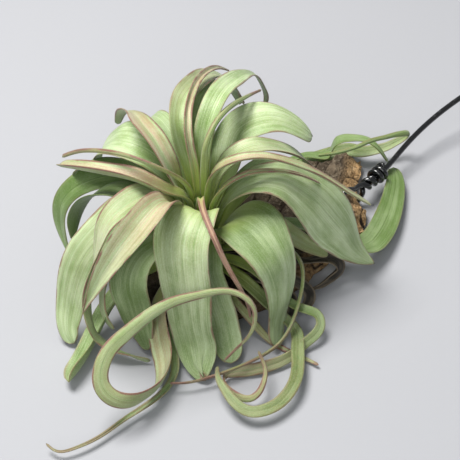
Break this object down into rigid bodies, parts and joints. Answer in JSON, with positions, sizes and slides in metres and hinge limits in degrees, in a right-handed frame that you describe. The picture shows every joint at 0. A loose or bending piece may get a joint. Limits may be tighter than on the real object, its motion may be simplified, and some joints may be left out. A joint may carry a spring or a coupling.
{
  "type": "air plant on bark",
  "caption": "Air plant rosette with arching, curled silvery leaves growing on a cork bark slab, with a stiff black wire hook to hang it by.",
  "frame": {"origin": "on the bark's flat back, below the middle of the rosette", "axes": "+Z is the rosette's axis, out of the bark; the wire leads away towards +X and +Y; -Y is the near side of the picture"},
  "size_m": [0.2332, 0.2289, 0.0976],
  "materials": {
    "leaf_silver": "matte",
    "leaf_fresh": "matte",
    "leaf_pink": "matte",
    "leaf_old": "matte",
    "leaf_dry": "matte",
    "bark": "rough",
    "wire": "gloss"
  },
  "bodies": {
    "root": {"stem": "leaf_fresh", "heart_needle": "leaf_pink", "top_thin_leaf": "leaf_pink", "top_pink_leaf": "leaf_pink", "left_upper_ray": "leaf_pink", "left_lower_ray": "leaf_pink", "right_pink_leaf": "leaf_pink", "top_wide_leaf": "leaf_silver", "left_inner_leaf": "leaf_pink", "front_wide_leaf": "leaf_silver", "right_strip_leaf": "leaf_pink", "top_left_leaf": "leaf_silver", "upper_left_leaf": "leaf_pink", "right_upper_leaf": "leaf_silver", "right_back_wide_leaf": "leaf_silver", "right_big_leaf": "leaf_silver", "top_back_leaf": "leaf_silver", "left_middle_leaf": "leaf_silver", "left_back_wide_leaf": "leaf_silver", "left_back_low_leaf": "leaf_fresh", "left_outer_leaf": "leaf_silver", "right_front_leaf": "leaf_silver", "front_under_leaf": "leaf_fresh", "left_low_leaf": "leaf_fresh", "left_near_curl": "leaf_fresh", "left_far_curl": "leaf_fresh", "upper_left_back_leaf": "leaf_fresh", "back_middle_leaf": "leaf_fresh", "back_left_low_leaf": "leaf_fresh", "back_right_low_leaf": "leaf_fresh", "khaki_leaf": "leaf_old", "dry_curl_upper": "leaf_dry", "dry_curl_middle": "leaf_dry", "dry_curl_lower": "leaf_dry", "left_low_thin_leaf": "leaf_fresh", "right_sweeping_leaf": "leaf_old", "right_curl": "leaf_fresh", "bottom_curl": "leaf_fresh", "looping_leaf": "leaf_silver", "gutter_leaf": "leaf_fresh", "whisker_leaf": "leaf_fresh", "right_low_thin_leaf": "leaf_old", "far_right_leaf": "leaf_fresh", "back_curl": "leaf_fresh", "back_hook": "leaf_fresh", "cork_bark": "bark", "hanging_wire": "wire"}
  },
  "joints": []
}
